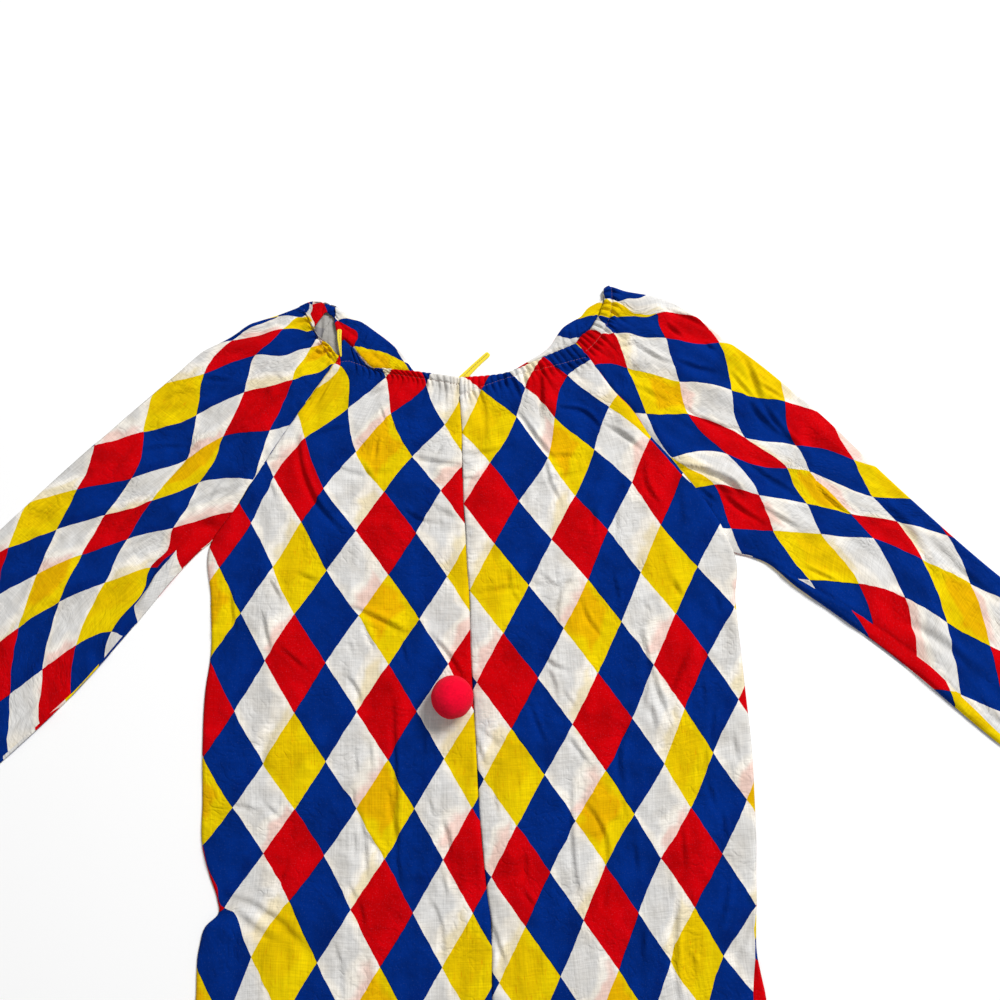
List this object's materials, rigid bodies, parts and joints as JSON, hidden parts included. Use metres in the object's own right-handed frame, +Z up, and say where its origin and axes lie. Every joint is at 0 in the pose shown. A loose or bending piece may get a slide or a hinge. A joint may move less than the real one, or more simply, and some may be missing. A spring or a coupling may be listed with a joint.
{
  "type": "clown jumpsuit",
  "caption": "One-piece clown jumpsuit in harlequin cloth, laid flat: raglan sleeves, gathered neck casing, centre seam, legs, tape ties and a red pompom.",
  "frame": {"origin": "middle of the garment's box at the height of the floor it lies on", "axes": "+Y runs from the ankles to the neck, +Z up from the floor, the garment's front facing up; +X is to the viewer's right"},
  "size_m": [1.4246, 1.5013, 0.0448],
  "materials": {
    "printed_cotton": "plain-woven cotton printed in blue, red and yellow lozenges on white, matt and softly creased",
    "yellow_tape": "folded and stitched cotton tape",
    "crimson_felt": "dense short-napped felt pompom"
  },
  "bodies": {
    "root": {"front_left": "printed_cotton", "front_right": "printed_cotton", "back_left": "printed_cotton", "back_right": "printed_cotton", "sleeve_left": "printed_cotton", "sleeve_right": "printed_cotton", "tie_centre": "yellow_tape", "tie_shoulder": "yellow_tape", "pompom": "crimson_felt"}
  },
  "joints": []
}
